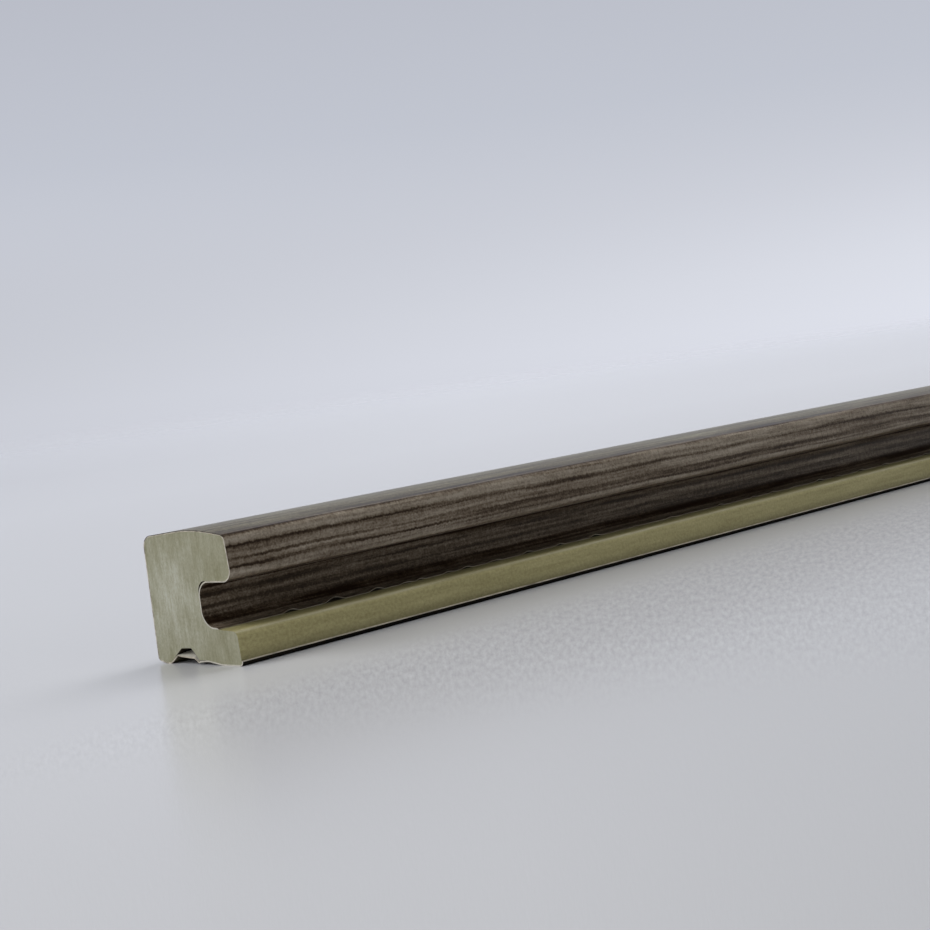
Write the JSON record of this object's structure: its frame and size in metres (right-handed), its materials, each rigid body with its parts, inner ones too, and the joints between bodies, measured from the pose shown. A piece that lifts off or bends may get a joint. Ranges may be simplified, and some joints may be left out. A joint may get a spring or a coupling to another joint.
{
  "type": "bamboo wall panel edge moulding",
  "caption": "Straight film-wrapped edge moulding for bamboo wall panels, square section with a side channel for the panel edge, a bare lower lip and a relief notch in its back.",
  "frame": {"origin": "centre of the object's box, on the level surface that its back lies on", "axes": "+X along the length, the sawn end that the picture shows is at -X; -Y is the side where the channel and the lower lip open; +Z from the back to the crowned top"},
  "size_m": [2.9, 0.0239, 0.024],
  "materials": {
    "foamed_core": "sawn, matt",
    "wood_grain_film": "satin printed grain"
  },
  "bodies": {
    "root": {"moulding_core": "foamed_core", "decor_film": "wood_grain_film"}
  },
  "joints": []
}
